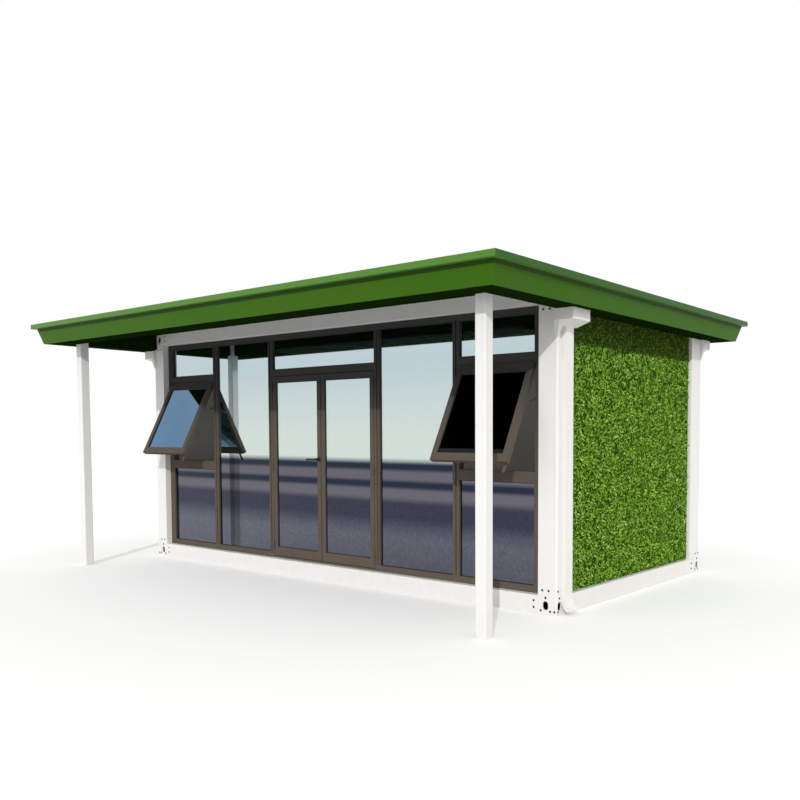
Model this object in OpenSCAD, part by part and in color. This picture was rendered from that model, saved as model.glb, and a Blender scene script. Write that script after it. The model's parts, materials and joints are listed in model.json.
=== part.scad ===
// Flat pack container house with a glazed front, a porch canopy and artificial grass walls.
// Millimetres. +Z is up and the front faces -Y. The origin is on the ground under the middle of the roof.

/* [Container frame] */
// Length of the container frame, end face to end face
body_l = 6055; // [5800:5:7000]
// Width of the container frame, front face to back face
body_w = 2990; // [2400:5:3400]
// Height of the floor beams and the lower corner castings
floor_beam_h = 164; // [150:1:220]
// Clear height between the floor beams and the roof beams
clear_h = 2500; // [2400:5:2900]
// Height of the roof beams and the upper corner castings
roof_beam_h = 150; // [130:1:220]
// Depth of the beam flanges, from the outside inwards
beam_d = 150; // [145:1:200]
// Wall of the rolled beams
beam_wall = 6; // [4:0.5:10]
// Height of the lips on the beam flanges
beam_lip = 45; // [25:1:60]
// Size of a corner casting along the front
casting_l = 210; // [200:1:260]
// Width of a corner post seen from the front
post_w = 193; // [180:1:200]
// Width of a corner post and its castings seen from the end
post_d = 250; // [230:1:300]
// Radius of the outer edge of the corner posts and castings
post_round = 17; // [4:1:20]
// Wall of a corner casting
casting_wall = 12; // [8:1:16]
// Width of the oval hole in a casting
oval_w = 56; // [30:1:64]
// Height of the oval hole in a casting
oval_h = 77; // [66:1:90]
// Distance of the front oval hole from the end face
oval_from_end = 114; // [70:1:130]
// Distance of the end oval hole from the front face
oval_from_front = 46; // [42:1:120]

/* [Floor, walls and ceiling] */
// Thickness of the floor board
floor_t = 20; // [15:1:40]
// Width of a floor joist
joist_w = 50; // [40:1:80]
// Height of a floor joist
joist_h = 100; // [80:1:110]
// Number of floor joists
joist_count = 9; // [5:1:13]
// Thickness of the sandwich wall panels
wall_t = 75; // [50:1:90]
// Set-back of the wall panels behind the frame face
wall_set = 50; // [35:1:55]
// Width of one sandwich wall panel
panel_w = 945; // [600:5:1200]
// Width and depth of the groove at a panel joint
panel_groove = 4; // [2:1:8]
// Thickness of the artificial grass boards
grass_t = 10; // [6:1:20]
// Gap under and over a grass board
grass_gap = 8; // [4:1:20]
// Thickness of the inner ceiling board
ceiling_t = 20; // [12:1:30]

/* [Roof and porch] */
// Overhang of the roof past each end of the frame
eave_side = 355; // [300:5:600]
// Overhang of the roof past the front of the frame
eave_front = 1355; // [1300:5:1800]
// Overhang of the roof past the back of the frame
eave_back = 470; // [300:5:700]
// Height of the edge band round the roof
band_h = 52; // [40:1:70]
// Width of the edge band
band_w = 80; // [70:1:120]
// Inset of the fascia under the edge band
fascia_in_top = 49; // [30:1:55]
// Further inset of the fascia at its foot
fascia_lean = 50; // [10:1:80]
// Height of the fascia
fascia_h = 171; // [150:1:220]
// Thickness of the fascia boards
fascia_t = 12; // [8:1:18]
// Thickness of the soffit board
soffit_t = 10; // [6:1:14]
// Thickness of the board over the eaves and the porch
eaves_board_t = 14; // [10:1:20]
// Thickness of the roof sheet between its ribs
sheet_t = 4; // [3:0.5:8]
// Height of the roof sheet's ribs
rib_h = 12; // [8:1:20]
// Distance between two ribs
rib_pitch = 250; // [150:5:400]
// Width of a rib at its top
rib_top_w = 30; // [15:1:50]
// Width of a rib at its foot
rib_foot_w = 60; // [55:1:100]
// Side of the square porch posts
porch_post = 100; // [80:1:140]
// Radius of the porch posts' edges
porch_round = 10; // [2:1:20]
// Distance of the porch posts' outer faces from the frame's front face
porch_out = 1004; // [900:1:1100]
// Width of the canopy beams
canopy_beam_w = 60; // [40:1:80]
// Height of the canopy beams over the soffit board
canopy_lift = 8; // [4:1:20]

/* [Rainwater] */
// Width of a downpipe, along the face that it stands on
pipe_w = 116; // [80:1:120]
// How far a downpipe stands out of its face
pipe_out = 45; // [30:1:60]
// Distance of a downpipe from the frame's corner
pipe_from_corner = 67; // [60:1:70]
// Depth of the post's channel that holds the downpipe
pipe_seat = 20; // [10:1:30]
// Width of the open channel beside the downpipe
pipe_gap = 22; // [10:1:30]
// Height of the foot of the downpipe's shoe
shoe_z = 34; // [10:1:50]
// Height where the outer wall of the shoe starts to flare
shoe_top = 175; // [165:1:200]
// Height where the inner wall of the shoe leaves the casting
shoe_heel_z = 140; // [120:1:155]
// How far the inner wall of the shoe stands out at its foot
shoe_heel_out = 60; // [40:1:75]
// How far the shoe's mouth stands out
shoe_out = 112; // [90:1:150]
// Rise of the shoe's mouth from its inner to its outer edge
shoe_rise = 12; // [0:1:30]
// Angle that the shoe's walls turn through
shoe_turn = 60; // [30:5:75]
// Depth of the recess in the shoe's mouth
mouth_depth = 15; // [5:1:25]
// Wall of the downpipe round the recess
pipe_wall = 3; // [2:0.5:5]
// How far a leader head stands out of its face
head_out = 171; // [120:1:200]
// How far a leader head wraps round the corner of its post
head_wrap = 25; // [10:1:60]
// How far the wrapped part stands out of the post's face
head_proud = 30; // [10:1:50]
// Length of a leader head along its face, from the corner
head_l = 240; // [210:1:249]
// Height of the upright part of a leader head
head_h = 95; // [60:1:140]
// Height of the tapered part of a leader head
head_taper = 50; // [30:1:120]
// How far the leader head's outlet stands round the downpipe
outlet_lip = 20; // [5:1:40]
// Length of the plate that wraps the post's corner under a leader head
wrap_drop = 125; // [90:1:180]
// Rise of that plate's lower edge towards the downpipe
wrap_rise = 55; // [0:1:80]
// Thickness of that plate at its lower edge
wrap_t = 3; // [2:0.5:6]

/* [Glazed front] */
// Set-back of the aluminium frames behind the frame face
glaze_set = 72; // [50:1:75]
// Depth of the aluminium frames
glaze_d = 70; // [68:1:75]
// Set-back of the glass in the frames
pane_set = 22; // [10:1:30]
// Thickness of the glazing units
pane_t = 24; // [10:1:26]
// Depth of the glazing pocket round a pane
pocket = 12; // [6:1:15]
// Clearance between a pane's edge and its pocket
pane_clear = 0.5; // [0.2:0.1:0.8]
// Width of the frame's side members beside the corner posts
side_member = 90; // [80:1:110]
// Height of the frame's head member
head_member = 60; // [50:1:80]
// Height of the frame's sill member
sill_member = 62; // [50:1:80]
// Distance of the mullion from the end of the house
mullion_at = 1125; // [1000:5:1200]
// Width of a mullion
mullion_w = 80; // [50:1:100]
// Height of the foot of the upper transom above the ground
transom_z = 2195; // [2050:1:2250]
// Height of the upper transom
transom_h = 75; // [50:1:90]
// Height of the foot of the lower transom above the ground
low_transom_z = 1130; // [900:1:1200]
// Height of the lower transom
low_transom_h = 100; // [60:1:120]
// Width of the window frames' members beside the door frame
side_stile = 30; // [25:1:50]
// Step of the vent openings beyond the fixed panes
vent_step = 10; // [0:1:20]
// Width of the groove down the front of a mullion
mullion_groove = 14; // [6:1:20]
// Width of the groove where the window frames meet the door frame
joint_groove = 20; // [8:1:24]
// Depth of the grooves in the aluminium frames
groove_d = 12; // [4:1:16]
// Height of the door head over the foot of the upper transom
door_head_step = 5; // [0:1:20]

/* [Double door] */
// Width of the doorway between its jambs
door_w = 1591; // [1300:1:1700]
// Width of the door frame's jambs
jamb_w = 42; // [30:1:60]
// Height of the door's threshold
threshold = 20; // [15:1:30]
// Thickness of the frame's door stop
stop_t = 13; // [8:1:15]
// How far the door stop stands into the doorway
stop_in = 14; // [8:1:20]
// Gap round a door leaf
leaf_gap = 6; // [5:0.5:10]
// Gap between the two door leaves
meeting_gap = 10; // [9:0.5:14]
// Thickness of a door leaf
leaf_t = 45; // [40:1:48]
// Width of a door leaf's stiles
leaf_stile = 55; // [52:1:80]
// Height of a door leaf's top rail
leaf_top = 64; // [50:1:100]
// Height of a door leaf's bottom rail
leaf_bottom = 97; // [70:1:160]
// Set-back of the glass in a door leaf
leaf_pane_set = 14; // [10:1:16]
// Thickness of the glass in a door leaf and in a window sash
leaf_pane_t = 16; // [10:1:18]
// Radius of a hinge knuckle
knuckle_r = 8; // [7:0.5:9]
// Radius of a hinge pin
hinge_pin_r = 4; // [3:0.5:4.5]
// Radial clearance of a hinge pin
hinge_clear = 0.3; // [0.2:0.1:0.6]
// Height of a hinge
hinge_h = 90; // [70:1:120]
// Distance of the outer hinges from the ends of a leaf
hinge_from_end = 70; // [40:5:150]
// Thickness of a hinge plate
hinge_plate_t = 3; // [2:0.5:4]
// Width of a hinge plate
hinge_plate_w = 40; // [25:1:40]
// Gap between two knuckles
knuckle_gap = 0.5; // [0.2:0.1:1]
// Distance of the hinge axis in front of the door
hinge_out = 10; // [9.5:0.5:12]
// Height of the door lever above the ground
lever_z = 1285; // [1100:5:1350]
// Length of the door lever
lever_l = 140; // [100:1:160]
// Radius of the door lever's grip
lever_r = 10; // [8:0.5:12]
// Distance of the door lever's grip from the leaf
lever_out = 50; // [40:1:60]
// Radius of the lever's rose
rose_r = 24; // [20:1:25]
// Thickness of the lever's rose
rose_t = 8; // [5:1:10]

/* [Awning windows] */
// Opening angle of the awning windows
awning_angle = 26; // [10:1:40]
// Thickness of a window sash
sash_t = 50; // [45:1:52]
// Width of a window sash's stiles
sash_member = 58; // [45:1:70]
// Height of a window sash's top rail
sash_top_rail = 90; // [58:1:110]
// Height of a window sash's bottom rail
sash_foot_rail = 74; // [58:1:90]
// Gap round a window sash
sash_gap = 4; // [3:0.5:6]
// How far the sash stands out of the aluminium frame
sash_proud = 8; // [0:1:20]
// Distance along the sash from its hinge to the stay
stay_at = 430; // [300:5:600]
// Width of the stay bars
stay_w = 16; // [10:1:24]
// Rise of a stay bar from the sash to the frame
stay_rise = 100; // [60:5:150]
// Thickness of the window handle's plate and of its lever
handle_t = 11; // [6:1:14]
// Distance of the window handle's plate from the edges of the rail
handle_inset = 6; // [2:1:10]
// Height of the window handle's pivot on the rail
handle_pivot = 30; // [20:1:34]
// Length of the window handle below the sash
handle_drop = 60; // [30:1:90]
// Half width of the window handle
handle_r = 14; // [8:1:18]
// Distance of the window handle from the side of the sash
handle_at = 50; // [30:5:120]

/* [Hidden] */
$fn = 48;

roof_l = body_l + 2 * eave_side;
roof_w = body_w + eave_front + eave_back;
front_y = eave_front - roof_w / 2;
middle_y = front_y + body_w / 2;
roof_beam_z = floor_beam_h + clear_h;
frame_top = roof_beam_z + roof_beam_h;
roof_top = frame_top + sheet_t + rib_h;
band_z = roof_top - band_h;
soffit_z = band_z - fascia_h;
eaves_board_z = frame_top - eaves_board_t;
steel = "whitesmoke";
alu = [0.22, 0.20, 0.17];
green = [0.30, 0.55, 0.12];
dark_green = [0.10, 0.20, 0.05];
turf = [0.25, 0.50, 0.12];
glass = [0.55, 0.65, 0.72, 0.6];
metal = [0.6, 0.6, 0.6];
eps = 0.01;
shoe_steps = 8;
bead_bite = 0.2;

wall_in = wall_set + wall_t;
glaze_in = glaze_set + glaze_d;
front_l = body_l - 2 * post_w;
door_x = (body_l - door_w) / 2;
door_frame_x = door_x - jamb_w;
leaf_w = (door_w - 2 * leaf_gap - meeting_gap) / 2;
door_head_z = transom_z + door_head_step;
leaf_z = floor_beam_h + threshold + leaf_gap;
leaf_h = door_head_z - leaf_gap - leaf_z;
hinge_y = glaze_set - hinge_out;
hinge_x = door_x + leaf_gap / 2;
hinge_heights = [
    leaf_z + hinge_from_end, leaf_z + (leaf_h - hinge_h) / 2, leaf_z + leaf_h - hinge_from_end - hinge_h
];
lever_x = leaf_w - leaf_stile / 2;
spindle_r = 6;
spindle_clear = 0.5;
neck_r = 9;

vent_x = post_w + side_member - vent_step;
vent_z = low_transom_z + low_transom_h;
vent_w = mullion_at - vent_x;
vent_h = transom_z - vent_z;
sash_w = vent_w - 2 * sash_gap;
sash_h = vent_h - 2 * sash_gap;
sash_y = glaze_set - sash_proud;
sash_top_z = transom_z - sash_gap;

// Places its children in the frame's own corner coordinates: x from the left end, y from the front face.
module in_body() {
    translate([-body_l / 2, front_y, 0]) children();
}

// Repeats its children at both ends of the house.
module both_ends() {
    children();
    mirror([1, 0, 0]) children();
}

// Turns a front piece into the back one.
module at_back() {
    translate([0, 2 * middle_y, 0]) mirror([0, 1, 0]) children();
}

// Turns a piece on the end face of a front corner round to the back face of the back corner.
module on_back_face() {
    in_body() translate([0, body_w, 0]) rotate([0, 0, -90]) children();
}

// A box given by its low corner and its size.
module block(at, size) {
    translate(at) cube(size);
}

// Extrudes an outline drawn in x and z towards the back, starting at depth y.
module upright(y, depth) {
    translate([0, y + depth, 0]) rotate([90, 0, 0]) linear_extrude(depth) children();
}

// A rectangle given by its low corner, its size and how much it grows.
module pane_shape(r, grow = 0) {
    translate([r[0] - grow, r[1] - grow]) square([r[2] + 2 * grow, r[3] + 2 * grow]);
}

// A solid between a low rectangle and a high rectangle, each given as [x0, y0, x1, y1].
module taper(low, high, z0, z1) {
    corners = function(r, z) [[r[0], r[1], z], [r[2], r[1], z], [r[2], r[3], z], [r[0], r[3], z]];
    polyhedron(
        points = concat(corners(low, z0), corners(high, z1)),
        faces = [[0, 1, 2, 3], [7, 6, 5, 4], [0, 4, 5, 1], [1, 5, 6, 2], [2, 6, 7, 3], [3, 7, 4, 0]]
    );
}

// The lipped channel of a beam along x, open towards +y.
module channel(length, height) {
    rotate([90, 0, 90]) linear_extrude(length) difference() {
        square([beam_d, height]);
        translate([beam_wall, beam_wall]) square([beam_d - 2 * beam_wall, height - 2 * beam_wall]);
        translate([beam_wall, beam_lip]) square([beam_d, height - 2 * beam_lip]);
    }
}

module front_beam(z, height) {
    color(steel) in_body() translate([casting_l, 0, z]) channel(body_l - 2 * casting_l, height);
}

module end_beam(z, height) {
    color(steel) in_body() translate([0, body_w - post_d, z]) rotate([0, 0, -90])
        channel(body_w - 2 * post_d, height);
}

module front_floor_beam() {
    front_beam(0, floor_beam_h);
}

module back_floor_beam() {
    at_back() front_beam(0, floor_beam_h);
}

module end_floor_beams() {
    both_ends() end_beam(0, floor_beam_h);
}

module front_roof_beam() {
    front_beam(roof_beam_z, roof_beam_h);
}

module back_roof_beam() {
    at_back() front_beam(roof_beam_z, roof_beam_h);
}

module end_roof_beams() {
    both_ends() end_beam(roof_beam_z, roof_beam_h);
}

// The upright oval hole of a casting.
module oval() {
    straight = oval_h - oval_w;
    square([oval_w, straight], center = true);
    for (side = [-1, 1]) translate([0, side * straight / 2]) circle(d = oval_w);
}

// A rectangle from the origin with its outer corner rounded.
module round_corner(size) {
    translate([post_round, post_round]) circle(post_round);
    translate([post_round, 0]) square([size[0] - post_round, size[1]]);
    translate([0, post_round]) square([size[0], size[1] - post_round]);
}

// One hollow corner casting with an oval hole in its front face and one in its end face.
module casting(z, height) {
    inner = [casting_l - 2 * casting_wall, post_d - 2 * casting_wall, height - 2 * casting_wall];
    color(steel) in_body() difference() {
        translate([0, 0, z]) linear_extrude(height) round_corner([casting_l, post_d]);
        block([casting_wall, casting_wall, z + casting_wall], inner);
        translate([oval_from_end, casting_wall + 1, z + height / 2]) rotate([90, 0, 0])
            linear_extrude(casting_wall + 2) oval();
        translate([-1, oval_from_front, z + height / 2]) rotate([90, 0, 90])
            linear_extrude(casting_wall + 2) oval();
    }
}

module corner_castings() {
    both_ends() {
        casting(0, floor_beam_h);
        casting(roof_beam_z, roof_beam_h);
        at_back() {
            casting(0, floor_beam_h);
            casting(roof_beam_z, roof_beam_h);
        }
    }
}

// The channel for the downpipe, cut into a post's end face.
module pipe_channel() {
    seat_w = pipe_w + pipe_gap + pane_clear;
    translate([-1, pipe_from_corner - pipe_gap]) square([pipe_seat + 1, seat_w]);
}

// The angle-shaped corner post, less its children's outline, which holds the downpipe's channel.
module corner_post(front_leg) {
    color(steel) in_body() translate([0, 0, floor_beam_h]) linear_extrude(clear_h) difference() {
        union() {
            round_corner([post_w, front_leg]);
            round_corner([wall_in, post_d]);
        }
        children();
    }
}

module front_left_post() {
    corner_post(glaze_in) pipe_channel();
}

module front_right_post() {
    mirror([1, 0, 0]) front_left_post();
}

module back_left_post() {
    at_back() corner_post(wall_in) mirror([1, -1, 0]) pipe_channel();
}

module back_right_post() {
    mirror([1, 0, 0]) back_left_post();
}

module floor_joists() {
    span = body_l - 2 * beam_d - joist_w;
    first = beam_d + span / (joist_count + 1);
    color(metal) in_body() for (i = [0:joist_count - 1])
        block(
            [first + i * span / (joist_count + 1), beam_d, floor_beam_h - floor_t - joist_h],
            [joist_w, body_w - 2 * beam_d, joist_h]
        );
}

// A board between the beams, cut out round the corner castings.
module inner_board(z, thickness) {
    in_body() translate([0, 0, z]) linear_extrude(thickness) difference() {
        translate([beam_d, beam_d]) square([body_l - 2 * beam_d, body_w - 2 * beam_d]);
        for (x = [0, body_l - casting_l], y = [0, body_w - post_d])
            translate([x, y]) square([casting_l, post_d]);
    }
}

module floor_board() {
    color("burlywood") inner_board(floor_beam_h - floor_t, floor_t);
}

module inner_ceiling() {
    color("white") inner_board(roof_beam_z, ceiling_t);
}

// A run of sandwich panels along x, its outer face at y = 0, with a groove at each joint inside.
module wall_run(length) {
    panels = floor(length / panel_w);
    difference() {
        cube([length, wall_t, clear_h]);
        for (i = [1:panels])
            block(
                [i * length / (panels + 1) - panel_groove / 2, wall_t - panel_groove, -1],
                [panel_groove, panel_groove + 1, clear_h + 2]
            );
    }
}

module back_wall() {
    color("white") at_back() in_body() translate([post_w, wall_set, floor_beam_h]) wall_run(front_l);
}

module left_wall() {
    color("white") in_body() translate([wall_set, body_w - post_d, floor_beam_h]) rotate([0, 0, -90])
        wall_run(body_w - 2 * post_d);
}

module right_wall() {
    mirror([1, 0, 0]) left_wall();
}

module back_grass() {
    color(turf) at_back() in_body() block(
        [post_w, wall_set - grass_t, floor_beam_h + grass_gap],
        [front_l, grass_t, clear_h - 2 * grass_gap]
    );
}

module left_grass() {
    color(turf) in_body() block(
        [wall_set - grass_t, post_d, floor_beam_h + grass_gap],
        [grass_t, body_w - 2 * post_d, clear_h - 2 * grass_gap]
    );
}

module right_grass() {
    mirror([1, 0, 0]) left_grass();
}

// The roof's outline with an inset on every side.
module roof_outline(inset) {
    square([roof_l - 2 * inset, roof_w - 2 * inset], center = true);
}

// The outline of one rib of the roof sheet, in x and z.
module rib_shape() {
    polygon([
        [-rib_foot_w / 2, 0], [rib_foot_w / 2, 0], [rib_top_w / 2, rib_h], [-rib_top_w / 2, rib_h]
    ]);
}

module roof_sheet() {
    length = roof_l - 2 * band_w;
    width = roof_w - 2 * band_w;
    half = floor((length / 2 - rib_foot_w) / rib_pitch);
    color(green) translate([0, 0, frame_top]) upright(-width / 2, width) {
        translate([-length / 2, 0]) square([length, sheet_t]);
        for (i = [-half:half]) translate([i * rib_pitch, sheet_t]) rib_shape();
    }
}

module edge_band() {
    color(green) translate([0, 0, band_z]) linear_extrude(band_h) difference() {
        roof_outline(0);
        roof_outline(band_w);
    }
}

// The leaning fascia: one tapered block inside another.
module fascia() {
    rect = function(inset) [
        inset - roof_l / 2, inset - roof_w / 2, roof_l / 2 - inset, roof_w / 2 - inset
    ];
    foot = fascia_in_top + fascia_lean;
    slope = fascia_lean / fascia_h;
    color(green) difference() {
        taper(rect(foot), rect(fascia_in_top), soffit_z, band_z);
        taper(
            rect(foot + fascia_t + slope), rect(fascia_in_top + fascia_t - slope), soffit_z - 1, band_z + 1
        );
    }
}

module soffit_board() {
    outer = fascia_in_top + fascia_lean + fascia_t;
    color(dark_green) translate([0, 0, soffit_z]) linear_extrude(soffit_t) difference() {
        roof_outline(outer);
        translate([-body_l / 2, front_y - porch_out]) square([body_l, body_w + porch_out]);
    }
}

module eaves_board() {
    color(dark_green) translate([0, 0, eaves_board_z]) linear_extrude(eaves_board_t) difference() {
        roof_outline(band_w);
        translate([-body_l / 2, front_y]) square([body_l, body_w]);
    }
}

module canopy_beams() {
    z = soffit_z + soffit_t + canopy_lift;
    height = eaves_board_z - z;
    reach = porch_out - porch_post;
    color(dark_green) in_body()
        block([porch_post, -porch_out, z], [body_l - 2 * porch_post, canopy_beam_w, height]);
    color(dark_green) both_ends() in_body() block([0, -reach, z], [canopy_beam_w, reach, height]);
}

// A square outline with rounded corners.
module round_square(side, r) {
    for (x = [r, side - r], y = [r, side - r]) translate([x, y]) circle(r);
    translate([r, 0]) square([side - 2 * r, side]);
    translate([0, r]) square([side, side - 2 * r]);
}

module left_porch_post() {
    color(steel) in_body() translate([0, -porch_out, 0]) linear_extrude(eaves_board_z)
        round_square(porch_post, porch_round);
}

module right_porch_post() {
    mirror([1, 0, 0]) left_porch_post();
}

// The plate that wraps the post's corner under a leader head, its lower edge rising towards the pipe.
module corner_wrap() {
    foot = soffit_z - head_h - wrap_drop;
    side = pipe_from_corner - pipe_gap;
    difference() {
        taper(
            [-wrap_t, -wrap_t, head_wrap, side], [-head_proud, -head_proud, head_wrap, side],
            foot, soffit_z - head_h + eps
        );
        translate([0, 0, foot]) rotate([atan2(wrap_rise, side), 0, 0])
            translate([-casting_l, 0, -wrap_drop]) cube([2 * casting_l, casting_l, wrap_drop]);
    }
}

// One leader head round the corner of its post, tapered down to the pipe.
module leader_head() {
    rim = [-head_out, -head_proud, head_wrap, head_l];
    outlet = [-pipe_out - outlet_lip, pipe_from_corner, head_wrap, pipe_from_corner + pipe_w + outlet_lip];
    core = [casting_l, post_d + 1, head_h + wrap_drop + 2];
    color(steel) difference() {
        union() {
            taper(rim, rim, soffit_z - head_h, soffit_z);
            taper(outlet, rim, soffit_z - head_h - head_taper, soffit_z - head_h);
            corner_wrap();
        }
        block([0, 0, soffit_z - head_h - wrap_drop - 1], core);
    }
}

module leader_heads() {
    both_ends() {
        in_body() leader_head();
        on_back_face() leader_head();
    }
}

// The curve of a shoe's wall in x and z, upright at its top end and turned outwards at its foot.
function flare(top, foot) = [
    for (i = [0:shoe_steps])
        let (a = shoe_turn * i / shoe_steps)
            [
                top[0] + (foot[0] - top[0]) * (1 - cos(a)) / (1 - cos(shoe_turn)),
                top[1] + (foot[1] - top[1]) * sin(a) / sin(shoe_turn)
            ]
];

function reversed(list) = [for (i = [len(list) - 1:-1:0]) list[i]];

// The side view of the shoe.
module shoe_shape() {
    heel = flare([0, shoe_heel_z], [-shoe_heel_out, shoe_z]);
    front = flare([-pipe_out, shoe_top], [-shoe_out, shoe_z + shoe_rise]);
    polygon(concat([[0, shoe_top]], heel, reversed(front)));
}

// Places a side view at the mouth of the shoe, x along the mouth and y out of the shoe's inside.
module at_mouth() {
    translate([-shoe_heel_out, shoe_z]) rotate(-atan2(shoe_rise, shoe_out - shoe_heel_out)) children();
}

// The side view of the recess in the shoe's mouth.
module mouth_shape() {
    width = norm([shoe_out - shoe_heel_out, shoe_rise]);
    intersection() {
        offset(delta = -pipe_wall) {
            shoe_shape();
            at_mouth() translate([-width, -mouth_depth]) square([width, mouth_depth + pipe_wall]);
        }
        at_mouth() translate([-shoe_out, -mouth_depth]) square([2 * shoe_out, 2 * mouth_depth]);
    }
}

// One rectangular downpipe seated in its post's channel, with a curved shoe at its foot.
module downpipe() {
    top = soffit_z - head_h - head_taper;
    color(steel) {
        block([-pipe_out, pipe_from_corner, shoe_top - eps], [pipe_out, pipe_w, top - shoe_top + eps]);
        block([-eps, pipe_from_corner, floor_beam_h], [pipe_seat + eps, pipe_w, top - floor_beam_h]);
        difference() {
            upright(pipe_from_corner, pipe_w) shoe_shape();
            upright(pipe_from_corner + pipe_wall, pipe_w - 2 * pipe_wall) mouth_shape();
        }
    }
}

module downpipes() {
    both_ends() {
        in_body() downpipe();
        on_back_face() downpipe();
    }
}

// Openings of the window frame beside the door: [x, z, width, height].
sill_z = floor_beam_h + sill_member;
head_z = roof_beam_z - head_member;
pane_x = post_w + side_member;
upper_pane = [pane_x, transom_z + transom_h, mullion_at - pane_x, head_z - transom_z - transom_h];
lower_pane = [pane_x, sill_z, mullion_at - pane_x, low_transom_z - sill_z];
tall_x = mullion_at + mullion_w;
tall_pane = [tall_x, sill_z, door_frame_x - side_stile - tall_x, head_z - sill_z];
vent = [vent_x, vent_z, vent_w, vent_h];
toplight = [door_x, door_head_z + transom_h, door_w, head_z - door_head_z - transom_h];

// A frame of three layers: the middle one is cut back to pockets round the panes.
module pocketed(y, depth, set, thick, panes) {
    upright(y, set) difference() {
        children();
        for (r = panes) pane_shape(r);
    }
    upright(y + set, thick) difference() {
        children();
        for (r = panes) pane_shape(r, pocket);
    }
    upright(y + set + thick, depth - set - thick) difference() {
        children();
        for (r = panes) pane_shape(r);
    }
}

// An upright groove down the front of the aluminium frames, round the line x.
module front_groove(x, width, z0, z1) {
    depth = min(groove_d, pane_set);
    block([x - width / 2, glaze_set - 1, z0], [width, depth + 1, z1 - z0]);
}

// The grooves where the window frames meet the door frame.
module joint_grooves() {
    both_ends() in_body() front_groove(door_frame_x, joint_groove, sill_z, head_z);
}

module left_window_frame() {
    panes = [upper_pane, lower_pane, tall_pane];
    color(alu) difference() {
        in_body() pocketed(glaze_set, glaze_d, pane_set, pane_t, panes) difference() {
            translate([post_w, floor_beam_h]) square([door_frame_x - post_w, clear_h]);
            pane_shape(vent);
        }
        in_body() front_groove(mullion_at + mullion_w / 2, mullion_groove, sill_z, head_z);
        joint_grooves();
    }
}

module right_window_frame() {
    mirror([1, 0, 0]) left_window_frame();
}

module door_frame() {
    foot = floor_beam_h + threshold;
    doorway = [door_x, foot, door_w, door_head_z - foot];
    walkway = [door_x + stop_in, foot - 1, door_w - 2 * stop_in, door_head_z - foot + 1 - stop_in];
    color(alu) {
        difference() {
            in_body() pocketed(glaze_set, glaze_d, pane_set, pane_t, [toplight]) difference() {
                translate([door_frame_x, floor_beam_h]) square([door_w + 2 * jamb_w, clear_h]);
                pane_shape(doorway);
            }
            joint_grooves();
        }
        in_body() upright(glaze_in - stop_t, stop_t) difference() {
            pane_shape(doorway, eps);
            pane_shape(walkway);
        }
    }
}

// One fixed glazing unit.
module unit(r) {
    upright(glaze_set + pane_set, pane_t) pane_shape(r, pocket - pane_clear);
}

module fixed_glass() {
    color(glass) {
        both_ends() in_body() {
            unit(upper_pane);
            unit(lower_pane);
            unit(tall_pane);
        }
        in_body() unit(toplight);
    }
}

// The rectangle of glass inside a leaf of the given size: [x, z, width, height].
function leaf_pane(w, h, stile, top, bottom) = [stile, bottom, w - 2 * stile, h - top - bottom];

// A glazed leaf from its lower left corner, its outer face at y = 0.
module leaf_frame(w, h, thick, r) {
    pocketed(0, thick, leaf_pane_set, leaf_pane_t, [r]) square([w, h]);
}

module leaf_glass(r) {
    upright(leaf_pane_set, leaf_pane_t) pane_shape(r, pocket - pane_clear);
}

// Places a sash, drawn from its lower left corner, at its opening angle under the left transom.
module at_vent() {
    in_body() translate([vent_x + sash_gap, sash_y, sash_top_z]) rotate([-awning_angle, 0, 0])
        translate([0, 0, -sash_h]) children();
}

sash_pane = leaf_pane(sash_w, sash_h, sash_member, sash_top_rail, sash_foot_rail);

module left_window_sash() {
    bead_r = sash_gap / 2;
    color(alu) {
        at_vent() leaf_frame(sash_w, sash_h, sash_t, sash_pane);
        in_body() translate([vent_x + sash_gap, sash_y + bead_r, sash_top_z + bead_r - bead_bite])
            rotate([0, 90, 0]) cylinder(r = bead_r, h = sash_w);
    }
}

module right_window_sash() {
    mirror([1, 0, 0]) left_window_sash();
}

module sash_glass() {
    color(glass) both_ends() at_vent() leaf_glass(sash_pane);
}

// A stay bar between the frame and the side of the sash, lying in the gap between them.
module stay_bar(x) {
    mid = sash_t / 2;
    sash_end = [
        sash_y - stay_at * sin(awning_angle) + mid * cos(awning_angle),
        sash_top_z - stay_at * cos(awning_angle) - mid * sin(awning_angle)
    ];
    frame_end = [glaze_in - stay_w, sash_end[1] + stay_rise];
    run = frame_end - sash_end;
    in_body() translate([x, sash_end[0], sash_end[1]]) rotate([atan2(run[1], run[0]), 0, 0])
        block([0, 0, -stay_w / 2], [sash_gap, norm(run), stay_w]);
}

// The handle on the inner face of a sash, reaching below its bottom rail.
module window_handle(x) {
    at_vent() {
        block(
            [x - handle_r, sash_t, handle_inset], [2 * handle_r, handle_t, sash_member - 2 * handle_inset]
        );
        upright(sash_t + handle_t, handle_t) {
            translate([x, handle_pivot]) circle(handle_r);
            translate([x - handle_r, -handle_drop]) square([2 * handle_r, handle_drop + handle_pivot]);
            translate([x, -handle_drop]) circle(handle_r);
        }
    }
}

module window_fittings() {
    color(metal) {
        both_ends() {
            stay_bar(vent_x);
            stay_bar(vent_x + vent_w - sash_gap);
        }
        window_handle(sash_w - handle_at);
        mirror([1, 0, 0]) window_handle(handle_at);
    }
}

// Places a door leaf, drawn from its lower left corner, in the left half of the doorway.
module at_door() {
    in_body() translate([door_x + leaf_gap, glaze_set, leaf_z]) children();
}

// Places its children on the left leaf's hinge axis, at each hinge's foot.
module at_hinges() {
    for (z = hinge_heights) in_body() translate([hinge_x, hinge_y, z]) children();
}

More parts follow.
